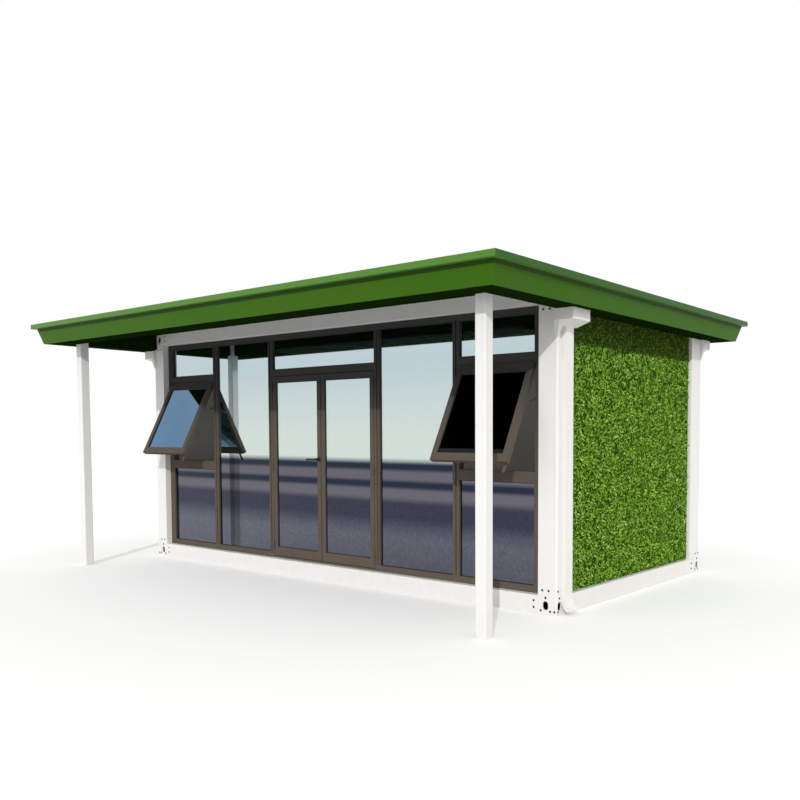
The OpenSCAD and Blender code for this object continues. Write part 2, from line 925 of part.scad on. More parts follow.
// One knuckle of a hinge with its plate towards side -1 or 1.
module knuckle(z0, z1, side) {
    translate([0, 0, z0]) cylinder(r = knuckle_r, h = z1 - z0);
    plate_y = hinge_out - hinge_plate_t;
    block(
        [side < 0 ? -hinge_plate_w : 0, plate_y, z0],
        [hinge_plate_w, hinge_plate_t, z1 - z0]
    );
}

// The frame's half of the hinges: two knuckles joined by the pin.
module hinge_fixed() {
    third = hinge_h / 3;
    at_hinges() {
        knuckle(0, third - knuckle_gap, -1);
        knuckle(2 * third + knuckle_gap, hinge_h, -1);
        cylinder(r = hinge_pin_r, h = hinge_h);
    }
}

// The leaf's half of the hinges: one bored knuckle.
module hinge_moving() {
    third = hinge_h / 3;
    at_hinges() difference() {
        knuckle(third, 2 * third, 1);
        translate([0, 0, -1]) cylinder(r = hinge_pin_r + hinge_clear, h = hinge_h);
    }
}

module door_hinges() {
    color(alu) both_ends() hinge_fixed();
}

door_pane = leaf_pane(leaf_w, leaf_h, leaf_stile, leaf_top, leaf_bottom);

module door_leaf() {
    at_door() leaf_frame(leaf_w, leaf_h, leaf_t, door_pane);
    hinge_moving();
}

// Places its children on the lever's axis, y = 0 at the leaf's outer face.
module at_lever() {
    at_door() translate([lever_x, 0, lever_z - leaf_z]) children();
}

// A cylinder along y between two depths.
module rod_y(radius, y0, y1) {
    translate([0, y1, 0]) rotate([90, 0, 0]) cylinder(r = radius, h = y1 - y0);
}

module left_door_leaf() {
    color(alu) difference() {
        door_leaf();
        at_lever() rod_y(spindle_r + spindle_clear, -1, leaf_t + 1);
    }
}

module right_door_leaf() {
    color(alu) mirror([1, 0, 0]) door_leaf();
}

module left_door_glass() {
    color(glass) at_door() leaf_glass(door_pane);
}

module right_door_glass() {
    mirror([1, 0, 0]) left_door_glass();
}

module lever_roses() {
    color(metal) at_lever() difference() {
        union() {
            rod_y(rose_r, -rose_t, 0);
            rod_y(rose_r, leaf_t, leaf_t + rose_t);
        }
        rod_y(neck_r + spindle_clear, -rose_t - 1, leaf_t + rose_t + 1);
    }
}

// The grip of the lever with a rounded end.
module grip(y) {
    translate([0, y, 0]) {
        sphere(lever_r);
        rotate([0, -90, 0]) cylinder(r = lever_r, h = lever_l);
        translate([-lever_l, 0, 0]) sphere(lever_r);
    }
}

module door_lever() {
    play = hinge_clear;
    color(metal) at_lever() {
        grip(-lever_out);
        rod_y(neck_r, -lever_out, -play);
        rod_y(spindle_r, -lever_out, leaf_t + lever_out);
        rod_y(neck_r, leaf_t + play, leaf_t + lever_out);
        grip(leaf_t + lever_out);
    }
}

front_floor_beam();
back_floor_beam();
end_floor_beams();
corner_castings();
front_left_post();
front_right_post();
back_left_post();
back_right_post();
front_roof_beam();
back_roof_beam();
end_roof_beams();
floor_joists();
floor_board();
inner_ceiling();
back_wall();
left_wall();
right_wall();
back_grass();
left_grass();
right_grass();
roof_sheet();
edge_band();
fascia();
soffit_board();
eaves_board();
canopy_beams();
left_porch_post();
right_porch_post();
leader_heads();
downpipes();
left_window_frame();
right_window_frame();
door_frame();
fixed_glass();
left_window_sash();
right_window_sash();
sash_glass();
window_fittings();
door_hinges();
left_door_leaf();
right_door_leaf();
left_door_glass();
right_door_glass();
lever_roses();
door_lever();
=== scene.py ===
"""Dresses the flat pack container house in painted steel, tinted glass, dark aluminium and artificial grass."""

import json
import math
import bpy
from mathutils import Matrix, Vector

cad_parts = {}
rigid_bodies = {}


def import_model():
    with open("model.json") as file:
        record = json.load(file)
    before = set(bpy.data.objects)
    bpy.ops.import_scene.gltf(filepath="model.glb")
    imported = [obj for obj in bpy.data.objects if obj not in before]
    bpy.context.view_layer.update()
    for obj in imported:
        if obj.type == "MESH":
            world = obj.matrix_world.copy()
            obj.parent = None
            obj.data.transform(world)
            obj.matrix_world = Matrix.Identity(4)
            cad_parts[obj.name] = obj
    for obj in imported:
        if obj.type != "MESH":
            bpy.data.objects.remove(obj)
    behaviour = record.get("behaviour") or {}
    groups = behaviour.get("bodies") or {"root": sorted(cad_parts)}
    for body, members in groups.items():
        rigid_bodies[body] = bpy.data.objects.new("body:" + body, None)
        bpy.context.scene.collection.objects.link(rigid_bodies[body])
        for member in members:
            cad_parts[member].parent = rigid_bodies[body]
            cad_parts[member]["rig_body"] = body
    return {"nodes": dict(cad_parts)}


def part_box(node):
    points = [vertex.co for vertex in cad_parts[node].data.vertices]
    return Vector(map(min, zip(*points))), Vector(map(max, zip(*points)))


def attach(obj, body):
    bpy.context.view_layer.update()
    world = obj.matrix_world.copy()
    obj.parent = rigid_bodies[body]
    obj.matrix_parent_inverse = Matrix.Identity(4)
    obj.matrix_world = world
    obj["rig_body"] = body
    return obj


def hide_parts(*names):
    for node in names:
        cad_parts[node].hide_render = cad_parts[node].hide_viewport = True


bl_info = {
    "name": "Flat Pack Container House",
    "version": (1, 0, 0),
    "blender": (4, 5, 0),
    "location": "3D View > Sidebar > Container House",
    "description": "Finishes a flat pack container house with paint, glass, window frames, bolts and grass",
    "category": "Object",
}

from collections import namedtuple

import bmesh
import bpy
from bpy.props import FloatProperty, FloatVectorProperty, IntProperty, PointerProperty
from mathutils import Vector

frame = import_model()

NODES = frame["nodes"]
BODY_OF = {node: NODES[node]["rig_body"] for node in NODES}
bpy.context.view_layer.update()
HOUSE_BODY = "house"

LEFT, FRONT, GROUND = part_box("corner_castings")[0]
RIGHT, BACK, CASTING_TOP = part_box("corner_castings")[1]
FLOOR_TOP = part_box("floor_board")[1].z
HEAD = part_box("front_roof_beam")[0].z
CASTING_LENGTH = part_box("front_floor_beam")[0].x - LEFT
POST_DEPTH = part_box("end_floor_beams")[0].y - FRONT

# Bolts of a casting's long and short face: each one's distance from the house's corner and its height
LONG_FACE_BOLTS = ((0.081, 0.213), (0.147, 0.213), (0.114, 0.150), (0.236, 0.115), (0.236, 0.057), (0.0655, 0.036),
                   (0.1625, 0.036), (0.022, 0.036), (0.081, 2.616), (0.147, 2.616), (0.236, 2.720), (0.236, 2.777))
SHORT_FACE_BOLTS = ((0.022, 0.213), (0.092, 0.213), (0.046, 0.152), (0.196, 0.115), (0.196, 0.057), (0.100, 0.036),
                    (0.022, 0.036), (0.022, 2.616), (0.092, 2.616), (0.196, 2.720), (0.196, 2.777))
# Where a downpipe and its shoe cover a face, measured from the corner
PIPE_SPAN = (0.058, 0.192)

# Painted reflections on the fixed glass, one tint at each height from the ground up (painted sky above, painted
# bands of the surroundings at handle height, painted ground below), and the height that the tints are spread over
PAINTED_GLASS_REFLECTIONS = ((0.53, "paving_reflection_glass"), (0.72, "ground_reflection_glass"), (0.87, "ground_reflection_glass"), (0.93, "pale_band_reflection_glass"),
               (1.00, "pale_band_reflection_glass"), (1.035, "dark_band_reflection_glass"), (1.075, "dark_band_reflection_glass"), (1.11, "pale_band_reflection_glass"),
               (1.18, "pale_band_reflection_glass"), (1.215, "dark_band_reflection_glass"), (1.26, "dark_band_reflection_glass"), (1.32, "horizon_reflection_glass"),
               (1.55, "horizon_reflection_glass"), (2.25, "sky_reflection_glass"))
GLASS_REACH = 2.7
# Heights between which the painted speckled reflection of the paving at the glass's foot thins out
SPECKLED_GLASS_FOOT = (0.8, 1.0)

# Heights between which a finish is painted darker as painted shade: window coats under the porch, and leaves in the
# eaves' shadow
PORCH_PAINTED_SHADE = (1.6, 2.15)
EAVES_PAINTED_SHADOW = (2.33, 2.37)

# Finishing of copied CAD meshes, in metres and radians
MERGE_DISTANCE = 2e-5
FLAT_ANGLE = math.radians(0.3)
ROUNDED_ANGLE = math.radians(35)
SHARP_ANGLE = math.radians(50)

# What a finish group gives the shader
FINISH = {"Colour": "NodeSocketColor", "Roughness": "NodeSocketFloat", "Height": "NodeSocketFloat"}

Settings = namedtuple("Settings", "colours sizes stage")


def colour(name, text, value):
    """A colour setting of the house, with its default."""
    return FloatVectorProperty(name=name, description=text, subtype="COLOR", size=3, min=0.0, max=1.0, default=value)


def length(name, text, value, low=0.0):
    """A length setting of the house in metres, with its default."""
    return FloatProperty(name=name, description=text, subtype="DISTANCE", unit="LENGTH", min=low, default=value)


class ContainerHouseColours(bpy.types.PropertyGroup):
    """Colours of the house's finishes."""

    steel: colour("Steel paint", "White paint of the frame, posts and downpipes", (0.88, 0.865, 0.84))
    # Painted shade: the castings' inside is painted near black, as shade in their hollows
    inside: colour("Casting inside", "Dark primer inside the corner castings", (0.012, 0.011, 0.010))
    wall: colour("Wall sheet", "Coated sheet of the sandwich walls and the ceiling", (0.74, 0.73, 0.70))
    dust: colour("Dust", "Dust that settles near the ground", (0.42, 0.37, 0.29))
    edge: colour("Roof edge", "Green of the roof's edge band along the front and the back", (0.088, 0.225, 0.030))
    # Painted shade: the edge band's ends take a darker copy of its green, as if less lit
    edge_end_shade: colour("Roof edge at the ends", "Green of the edge band along the two ends", (0.038, 0.118, 0.020))
    fascia: colour("Fascia", "Green of the leaning fascia", (0.043, 0.135, 0.003))
    # Partly painted shade: the soffit's own dark green is made darker still to stand in for the shade under the
    # eaves
    soffit: colour("Soffit", "Dark green under the eaves and the porch", (0.008, 0.022, 0.003))
    roof: colour("Roof sheet", "Green of the ribbed roof sheet", (0.10, 0.27, 0.04))
    aluminium: colour("Window frames", "Coated aluminium of the windows and doors", (0.122, 0.099, 0.080))
    # Painted reflections: the six glass tints below are painted sky, horizon, bands of the surroundings and ground
    sky_reflection_glass: colour("Upper glass", "Tint of the glass over head height", (0.582, 0.704, 0.743))
    horizon_reflection_glass: colour("Middle glass", "Tint of the glass at head height", (0.728, 0.825, 0.776))
    pale_band_reflection_glass: colour("Pale bands of the glass", "Tint of the pale bands at handle height", (0.150, 0.145, 0.175))
    dark_band_reflection_glass: colour("Dark bands of the glass", "Tint of the dark bands at handle height", (0.020, 0.028, 0.055))
    ground_reflection_glass: colour("Lower glass", "Tint of the glass below the handles", (0.044, 0.047, 0.080))
    paving_reflection_glass: colour("Foot glass", "Tint of the glass near the ground", (0.130, 0.138, 0.182))
    # Painted reflections: the left sash's blue is painted sky, the right sash's black a painted reflection of shade
    sky_reflection_sash_glass: colour("Left sash glass", "Tint of the left awning window", (0.10, 0.235, 0.40))
    shade_reflection_sash_glass: colour("Right sash glass", "Tint of the right awning window", (0.012, 0.014, 0.018))
    rubber: colour("Rubber", "Gaskets round the glass", (0.012, 0.012, 0.013))
    turf: colour("Grass backing", "Dark mat that carries the leaves", (0.026, 0.062, 0.005))
    leaf_dark: colour("Dark leaves", "Deepest green of the grass", (0.058, 0.128, 0.007))
    leaf_mid: colour("Leaves", "Main green of the grass", (0.195, 0.405, 0.025))
    leaf_light: colour("Light leaves", "Palest green of the grass", (0.52, 0.76, 0.17))
    zinc: colour("Zinc", "Galvanised joists and fittings", (0.42, 0.43, 0.45))
    handle: colour("Door handle", "Black coating of the lever", (0.015, 0.015, 0.016))
    board: colour("Floor board", "Wood of the floor", (0.30, 0.19, 0.10))


class ContainerHouseSizes(bpy.types.PropertyGroup):
    """Sizes of the pieces that are added to the frame."""

    steel_edge: length("Steel edge", "Rounding of the painted steel's edges", 0.003)
    alu_edge: length("Aluminium edge", "Rounding of the window profiles' edges", 0.0015)
    bolt_radius: length("Bolt radius", "Radius of the casting bolts", 0.0085)
    bolt_height: length("Bolt height", "How far a bolt stands out", 0.003)
    gasket: length("Gasket", "Radius of the rubber beads round the glass", 0.0055)
    leaf_length: length("Leaf length", "Length of one leaf of the grass", 0.036)
    leaf_width: length("Leaf width", "Width of one leaf of the grass", 0.013)
    leaf_gap: length("Leaf spacing", "Mean distance between the leaves", 0.0165, 0.012)
    screw_radius: length("Roof screw radius", "Radius of the roof screws", 0.008)
    screw_gap: length("Roof screw spacing", "Distance between two screws along a rib", 0.6, 0.1)


class ContainerHouseStage(bpy.types.PropertyGroup):
    """Light and floor of the studio."""

    sun: FloatProperty(name="Sun", description="Strength of the key light", min=0.0, default=1.50)
    sun_angle: FloatProperty(name="Sun angle", description="Apparent size of the key light", subtype="ANGLE",
                             unit="ROTATION", default=math.radians(0.55))
    sky: FloatProperty(name="Sky", description="Strength of the soft light from all round", min=0.0, default=0.86)
    floor: colour("Floor", "Colour of the studio floor", (0.74, 0.74, 0.73))
    floor_glow: FloatProperty(name="Floor glow", description="How much white the floor shows of its own",
                              min=0.0, max=1.0, default=0.28)
    room: FloatProperty(name="Room light", description="Power of the soft lamp under the ceiling", subtype="POWER",
                        min=0.0, default=6.0)
    seed: IntProperty(name="Seed", description="Seed of the grass", default=7)


def house():
    """The settings of the open scene."""
    scene = bpy.context.scene
    return Settings(scene.container_house_colours, scene.container_house_sizes, scene.container_house_stage)


# ---------------------------------------------------------------- node trees


def add(tree, kind, inputs=None, **settings):
    """Add a node to a tree, set its properties, and set or link its inputs."""
    node = tree.nodes.new(kind)
    for name, value in settings.items():
        setattr(node, name, value)
    for key, value in (inputs or {}).items():
        socket = node.inputs[key]
        if isinstance(value, bpy.types.NodeSocket):
            tree.links.new(value, socket)
        else:
            socket.default_value = (*value, 1.0) if socket.type == "RGBA" else value
    return node


def new_group(name, kind, inputs, outputs):
    """A node group with typed, named sockets, and its input and output nodes."""
    group = bpy.data.node_groups.new(name, kind)
    for socket_name, (socket_type, value) in inputs.items():
        socket = group.interface.new_socket(socket_name, in_out="INPUT", socket_type=socket_type)
        if value is not None:
            socket.default_value = value
    for socket_name, socket_type in outputs.items():
        group.interface.new_socket(socket_name, in_out="OUTPUT", socket_type=socket_type)
    return group, group.nodes.new("NodeGroupInput").outputs, group.nodes.new("NodeGroupOutput").inputs


def noise(tree, vector, scale, detail=2.0, roughness=0.5):
    """The factor of a noise texture on the given coordinates."""
    values = {"Vector": vector, "Scale": scale, "Detail": detail, "Roughness": roughness}
    return add(tree, "ShaderNodeTexNoise", values).outputs["Fac"]


def stretched(tree, vector, scale):
    """Coordinates with another scale along each axis."""
    return add(tree, "ShaderNodeMapping", {"Vector": vector, "Scale": scale}).outputs["Vector"]


def ranged(tree, value, low, high, to_low=0.0, to_high=1.0, curve="LINEAR"):
    """Map a value from one range to another, clamped."""
    values = {"Value": value, "From Min": low, "From Max": high, "To Min": to_low, "To Max": to_high}
    return add(tree, "ShaderNodeMapRange", values, interpolation_type=curve).outputs["Result"]


def maths(tree, operation, first, second):
    """The result of one sum on two values."""
    return add(tree, "ShaderNodeMath", {0: first, 1: second}, operation=operation).outputs[0]


def vector_maths(tree, operation, first, second=None, scale=None):
    """The result of one sum on vectors: a vector, or a number for a dot product or a length."""
    given = {key: value for key, value in ((0, first), (1, second), ("Scale", scale)) if value is not None}
    node = add(tree, "ShaderNodeVectorMath", given, operation=operation)
    return node.outputs["Value" if operation in ("DOT_PRODUCT", "LENGTH") else "Vector"]


def blend(tree, factor, first, second, mode="MIX"):
    """Mix two colours."""
    values = {0: factor, 6: first, 7: second}
    return add(tree, "ShaderNodeMix", values, data_type="RGBA", blend_type=mode).outputs[2]


def toned(tree, shade, value, saturation=1.0):
    """A colour made darker or lighter, and duller or stronger."""
    values = {"Color": shade, "Value": value, "Saturation": saturation}
    return add(tree, "ShaderNodeHueSaturation", values).outputs["Color"]


def height_of(tree, vector):
    """The height above the ground, from object coordinates."""
    return add(tree, "ShaderNodeSeparateXYZ", {"Vector": vector}).outputs["Z"]


def coated_sheet_group():
    """Coated metal: patchy tone, rain streaks, dust near the ground and a fine orange peel."""
    if "Coated Sheet" in bpy.data.node_groups:
        return bpy.data.node_groups["Coated Sheet"]
    group, given, result = new_group(
        "Coated Sheet", "ShaderNodeTree",
        {"Vector": ("NodeSocketVector", None), "Colour": ("NodeSocketColor", None),
         "Dust Colour": ("NodeSocketColor", None), "Tone": ("NodeSocketFloat", 0.03),
         "Streaks": ("NodeSocketFloat", 0.04), "Dust": ("NodeSocketFloat", 0.12),
         "Dust Height": ("NodeSocketFloat", 0.35), "Gloss": ("NodeSocketFloat", 0.38)},
        FINISH)
    where = given["Vector"]
    patches = noise(group, where, scale=1.6, detail=4.0, roughness=0.6)
    tone = maths(group, "MULTIPLY", maths(group, "SUBTRACT", patches, 0.5), given["Tone"])
    patchy = toned(group, given["Colour"], maths(group, "ADD", tone, 1.0))
    runs = noise(group, stretched(group, where, (22.0, 22.0, 0.7)), scale=1.0, detail=3.0, roughness=0.55)
    streaks = maths(group, "MULTIPLY", ranged(group, runs, 0.52, 0.78), given["Streaks"])
    streaked = blend(group, streaks, patchy, given["Dust Colour"])
    low = ranged(group, height_of(group, where), 0.0, given["Dust Height"], 1.0, 0.0, "SMOOTHSTEP")
    specks = ranged(group, noise(group, where, scale=14.0, detail=6.0, roughness=0.7), 0.35, 0.75)
    dust = maths(group, "MULTIPLY", maths(group, "MULTIPLY", low, specks), given["Dust"])
    dusty = blend(group, dust, streaked, given["Dust Colour"])
    rough = maths(group, "ADD", given["Gloss"], maths(group, "MULTIPLY", maths(group, "ADD", streaks, dust), 0.5))
    rough = maths(group, "ADD", rough, ranged(group, patches, 0.3, 0.7, -0.04, 0.04))
    peel = noise(group, where, scale=260.0)
    for name, value in zip(FINISH, (dusty, rough, peel)):
        group.links.new(value, result[name])
    return group


def grown(name, mesh, group, values):
    """Run a geometry tree on a mesh and keep the result as a plain piece."""
    piece = new_piece(name, mesh)
    modifier = piece.modifiers.new("Nodes", "NODES")
    modifier.node_group = group
    for item in group.interface.items_tree:
        if item.in_out == "INPUT" and item.name in values:
            modifier[item.identifier] = values[item.name]
    return applied(piece)


def geometry_group(name, inputs):
    """A geometry tree with a mesh in and out and named inputs, or the one made before."""
    if name in bpy.data.node_groups:
        return bpy.data.node_groups[name], None, None
    given = {"Geometry": ("NodeSocketGeometry", None), **inputs, "Material": ("NodeSocketMaterial", None)}
    group, outputs, results = new_group(name, "GeometryNodeTree", given, {"Geometry": "NodeSocketGeometry"})
    group.is_modifier = True
    return group, outputs, results


def close_tree(group, geometry, given, result):
    """End a geometry tree with real meshes and their material."""
    real = add(group, "GeometryNodeRealizeInstances", {0: geometry}).outputs[0]
    coated = add(group, "GeometryNodeSetMaterial", {"Geometry": real, "Material": given["Material"]}).outputs[0]
    group.links.new(coated, result["Geometry"])


def leaves_group():
    """Leaves scattered over a wall: closed pointed blades that stand out from it at many angles."""
    group, given, result = geometry_group("Grass Leaves", {
        "Leaf Length": ("NodeSocketFloat", 0.036), "Leaf Width": ("NodeSocketFloat", 0.013),
        "Spacing": ("NodeSocketFloat", 0.0165), "Seed": ("NodeSocketInt", 1)})
    if given is None:
        return group
    one_side = maths(group, "DIVIDE", 1.0, given["Spacing"])
    density = maths(group, "MULTIPLY", one_side, one_side)
    spread = add(group, "GeometryNodeDistributePointsOnFaces", {
        "Mesh": given["Geometry"], "Density": density, "Seed": given["Seed"]})
    outwards = spread.outputs["Normal"]

    def chance(low, high, step, kind="FLOAT"):
        """A random value for each leaf, drawn with the step's own seed."""
        seed = maths(group, "ADD", given["Seed"], float(step))
        node = add(group, "FunctionNodeRandomValue", {"Seed": seed}, data_type=kind)
        least, most = [socket for socket in node.inputs if socket.enabled][:2]
        least.default_value, most.default_value = low, high
        return next(socket for socket in node.outputs if socket.enabled)

    # Each leaf aims anywhere along the wall, mostly upwards, and leans out from it
    anyway = chance((-1.0, -1.0, -1.5), (1.0, 1.0, 2.0), 1, "FLOAT_VECTOR")
    along = vector_maths(group, "DOT_PRODUCT", anyway, outwards)
    out_part = vector_maths(group, "SCALE", outwards, scale=along)
    flat = vector_maths(group, "SUBTRACT", anyway, out_part)
    lift = vector_maths(group, "SCALE", outwards, scale=chance(0.15, 0.75, 2))
    aim = vector_maths(group, "ADD", flat, lift)
    turned = add(group, "FunctionNodeAlignRotationToVector", {"Vector": aim}, axis="Z").outputs[0]
    faced = add(group, "FunctionNodeAlignRotationToVector", {"Rotation": turned, "Vector": outwards},
                axis="Y", pivot_axis="Z").outputs[0]

    # A leaf is a low ball drawn out to a point at both ends, rooted near its lower end
    ball = add(group, "GeometryNodeMeshUVSphere", {"Segments": 4, "Rings": 2, "Radius": 0.5}).outputs["Mesh"]
    thickness = maths(group, "MULTIPLY", given["Leaf Width"], 0.35)
    size = add(group, "ShaderNodeCombineXYZ", {
        "X": given["Leaf Width"], "Y": thickness, "Z": given["Leaf Length"]}).outputs[0]
    root = add(group, "ShaderNodeCombineXYZ", {"Z": maths(group, "MULTIPLY", given["Leaf Length"], 0.45)}).outputs[0]
    leaf = add(group, "GeometryNodeTransform", {"Geometry": ball, "Translation": root, "Scale": size}).outputs[0]
    placed = add(group, "GeometryNodeInstanceOnPoints", {
        "Points": spread.outputs["Points"], "Instance": leaf, "Rotation": faced,
        "Scale": chance((0.6, 0.7, 0.55), (1.2, 1.3, 1.15), 3, "FLOAT_VECTOR")}).outputs[0]
    shaded = add(group, "GeometryNodeStoreNamedAttribute", {
        "Geometry": placed, "Name": "shade", "Value": chance(0.0, 1.0, 4)},
        data_type="FLOAT", domain="INSTANCE").outputs[0]
    close_tree(group, shaded, given, result)
    return group


def bolts_group():
    """Hexagon bolts on washers, one at each point of a mesh, turned the way that its point faces."""
    group, given, result = geometry_group("Bolts", {
        "Radius": ("NodeSocketFloat", 0.0085), "Height": ("NodeSocketFloat", 0.004)})
    if given is None:
        return group
    faces = add(group, "GeometryNodeInputNamedAttribute", {"Name": "faces"}, data_type="FLOAT_VECTOR").outputs[0]
    turned = add(group, "FunctionNodeAlignRotationToVector", {"Vector": faces}, axis="Z").outputs[0]
    washer_radius = maths(group, "MULTIPLY", given["Radius"], 1.25)
    washer_thickness = maths(group, "MULTIPLY", given["Height"], 0.35)
    washer = add(group, "GeometryNodeMeshCylinder", {
        "Vertices": 12, "Radius": washer_radius, "Depth": washer_thickness}).outputs["Mesh"]
    head = add(group, "GeometryNodeMeshCylinder", {
        "Vertices": 6, "Radius": given["Radius"], "Depth": given["Height"]}).outputs["Mesh"]
    lift = add(group, "ShaderNodeCombineXYZ", {"Z": maths(group, "MULTIPLY", given["Height"], 0.5)}).outputs[0]
    raised = add(group, "GeometryNodeTransform", {"Geometry": head, "Translation": lift}).outputs[0]
    both = add(group, "GeometryNodeJoinGeometry")
    group.links.new(washer, both.inputs[0])
    group.links.new(raised, both.inputs[0])
    placed = add(group, "GeometryNodeInstanceOnPoints", {
        "Points": given["Geometry"], "Instance": both.outputs[0], "Rotation": turned}).outputs[0]
    close_tree(group, placed, given, result)
    return group


def beads_group():
    """A rubber bead along every edge of a mesh."""
    group, given, result = geometry_group("Beads", {"Radius": ("NodeSocketFloat", 0.004)})
    if given is None:
        return group
    path = add(group, "GeometryNodeMeshToCurve", {"Mesh": given["Geometry"]}).outputs[0]
    ring = add(group, "GeometryNodeCurvePrimitiveCircle", {"Resolution": 8, "Radius": given["Radius"]}).outputs[0]
    swept = add(group, "GeometryNodeCurveToMesh", {"Curve": path, "Profile Curve": ring}).outputs[0]
    close_tree(group, swept, given, result)
    return group


def fine_grain_group():
    """A fine grain with small changes of tone, for coated aluminium, rubber and handles."""
    if "Fine Grain" in bpy.data.node_groups:
        return bpy.data.node_groups["Fine Grain"]
    group, given, result = new_group(
        "Fine Grain", "ShaderNodeTree",
        {"Vector": ("NodeSocketVector", None), "Colour": ("NodeSocketColor", None),
         "Scale": ("NodeSocketFloat", 700.0), "Tone": ("NodeSocketFloat", 0.2), "Gloss": ("NodeSocketFloat", 0.4)},
        FINISH)
    where = given["Vector"]
    grain = noise(group, where, scale=given["Scale"])
    broad = noise(group, where, scale=3.0, detail=3.0)
    change = maths(group, "MULTIPLY", maths(group, "SUBTRACT", broad, 0.5), given["Tone"])
    patchy = toned(group, given["Colour"], maths(group, "ADD", change, 1.0))
    rough = maths(group, "ADD", given["Gloss"], ranged(group, grain, 0.3, 0.7, -0.05, 0.05))
    for name, value in zip(FINISH, (patchy, rough, grain)):
        group.links.new(value, result[name])
    return group


def new_material(name):
    """An empty node material, its tree, its Principled shader and its object coordinates."""
    material = bpy.data.materials.new(name)
    material.use_nodes = True
    tree = material.node_tree
    tree.nodes.clear()
    shader = tree.nodes.new("ShaderNodeBsdfPrincipled")
    output = tree.nodes.new("ShaderNodeOutputMaterial")
    tree.links.new(shader.outputs["BSDF"], output.inputs["Surface"])
    where = tree.nodes.new("ShaderNodeTexCoord").outputs["Object"]
    return material, tree, shader, where


def bumped(tree, shader, height, distance):
    """Send a height to the shader's normal through a bump node."""
    bump = add(tree, "ShaderNodeBump", {"Height": height, "Distance": distance, "Strength": 1.0})
    tree.links.new(bump.outputs["Normal"], shader.inputs["Normal"])


def ramped(tree, factor, stops):
    """A colour that runs through the given ones, each with its place between 0 and 1."""
    ramp = add(tree, "ShaderNodeValToRGB", {"Fac": factor})
    elements = ramp.color_ramp.elements
    while len(elements) < len(stops):
        elements.new(0.5)
    for element, (place, shade) in zip(elements, stops):
        element.position, element.color = place, (*shade, 1.0)
    return ramp.outputs["Color"]


def once(make):
    """Make a material the first time it is asked for, and return the same one afterwards."""
    made = {}

    def get(name, *values, **options):
        if name not in made:
            made[name] = make(name, *values, **options)
        return made[name]

    return get


def coat(tree, shader, group, values, shine, bump):
    """Give a shader its shine and a finish group's roughness and bump, and return the group's colour."""
    finish = add(tree, "ShaderNodeGroup", values, node_tree=group).outputs
    tree.links.new(finish["Roughness"], shader.inputs["Roughness"])
    shader.inputs["Specular IOR Level"].default_value = shine
    if bump > 0.0:
        bumped(tree, shader, finish["Height"], bump)
    return finish["Colour"]


@once
def coated_sheet(name, shade, dust=0.12, streaks=0.04, gloss=0.38, shine=0.4, shadow_from=None, peel=0.00025):
    """Painted or coated steel sheet, which may carry a painted shadow: darker from the given height up, where
    another part overhangs it.
    """
    colours = house().colours
    material, tree, shader, where = new_material(name)
    paint = coat(tree, shader, coated_sheet_group(), {
        "Vector": where, "Colour": getattr(colours, shade), "Dust Colour": colours.dust,
        "Dust": dust, "Streaks": streaks, "Gloss": gloss}, shine, peel)
    if shadow_from is not None:
        # Painted shadow: a dark strip from this height up, where an overhang casts its shade
        shadow_edge, shaded = 0.006, 0.45
        paint = toned(tree, paint, ranged(tree, height_of(tree, where), shadow_from, shadow_from + shadow_edge, 1.0, shaded))
    tree.links.new(paint, shader.inputs["Base Color"])
    return material


@once
def grained(name, shade, gloss=0.4, scale=700.0, shine=0.35, porch_shade=1.0):
    """A fine grained finish: coated aluminium, rubber or a handle. Under the porch it may be painted darker and
    duller, a painted shade.
    """
    material, tree, shader, where = new_material(name)
    grain = coat(tree, shader, fine_grain_group(), {
        "Vector": where, "Colour": getattr(house().colours, shade), "Scale": scale, "Gloss": gloss}, shine, 0.0002)
    if porch_shade < 1.0:
        # Painted shade: the coat turns darker and duller towards the porch's roof
        height = height_of(tree, where)
        value = ranged(tree, height, *PORCH_PAINTED_SHADE, 1.0, porch_shade)
        saturation = ranged(tree, height, *PORCH_PAINTED_SHADE, 1.0, 2.0 * porch_shade - 1.0)
        grain = toned(tree, grain, value, saturation)
    tree.links.new(grain, shader.inputs["Base Color"])
    return material


@once
def solar_glass(name):
    """Reflective solar glass with painted reflections: painted sky above, painted bands of the surroundings at
    handle height and painted ground below, with painted speckles at its foot.
    """
    colours = house().colours
    material, tree, shader, where = new_material(name)
    height = height_of(tree, where)
    tint = ramped(tree, maths(tree, "DIVIDE", height, GLASS_REACH),
                  [(place / GLASS_REACH, getattr(colours, shade)) for place, shade in PAINTED_GLASS_REFLECTIONS])
    # Painted reflection: speckles at the foot of the glass stand in for the reflected paving
    low = ranged(tree, height, *SPECKLED_GLASS_FOOT, 1.0, 0.0)
    spots = noise(tree, where, scale=38.0, detail=4.0, roughness=0.7)
    specks = ranged(tree, spots, 0.3, 0.7, -0.2, 0.2)
    film = maths(tree, "ADD", maths(tree, "MULTIPLY", low, specks), 1.0)
    tree.links.new(toned(tree, tint, film), shader.inputs["Base Color"])
    glaze(tree, shader, where)
    return material


@once
def sash_glass(name, shade):
    """Reflective glass of one tint, for an awning window; the tint is a painted reflection."""
    material, tree, shader, where = new_material(name)
    cloud = ranged(tree, noise(tree, where, scale=1.2), 0.3, 0.7, 0.9, 1.1)
    tree.links.new(toned(tree, getattr(house().colours, shade), cloud), shader.inputs["Base Color"])
    glaze(tree, shader, where)
    return material


def glaze(tree, shader, where):
    """Make a shader reflective glass with a thin, uneven film on it."""
    film = ranged(tree, noise(tree, where, scale=5.0, detail=3.0), 0.3, 0.7, 0.005, 0.025)
    tree.links.new(film, shader.inputs["Roughness"])
    shader.inputs["Metallic"].default_value = 0.85
    shader.inputs["Transmission Weight"].default_value = 1.0
    shader.inputs["IOR"].default_value = 1.45


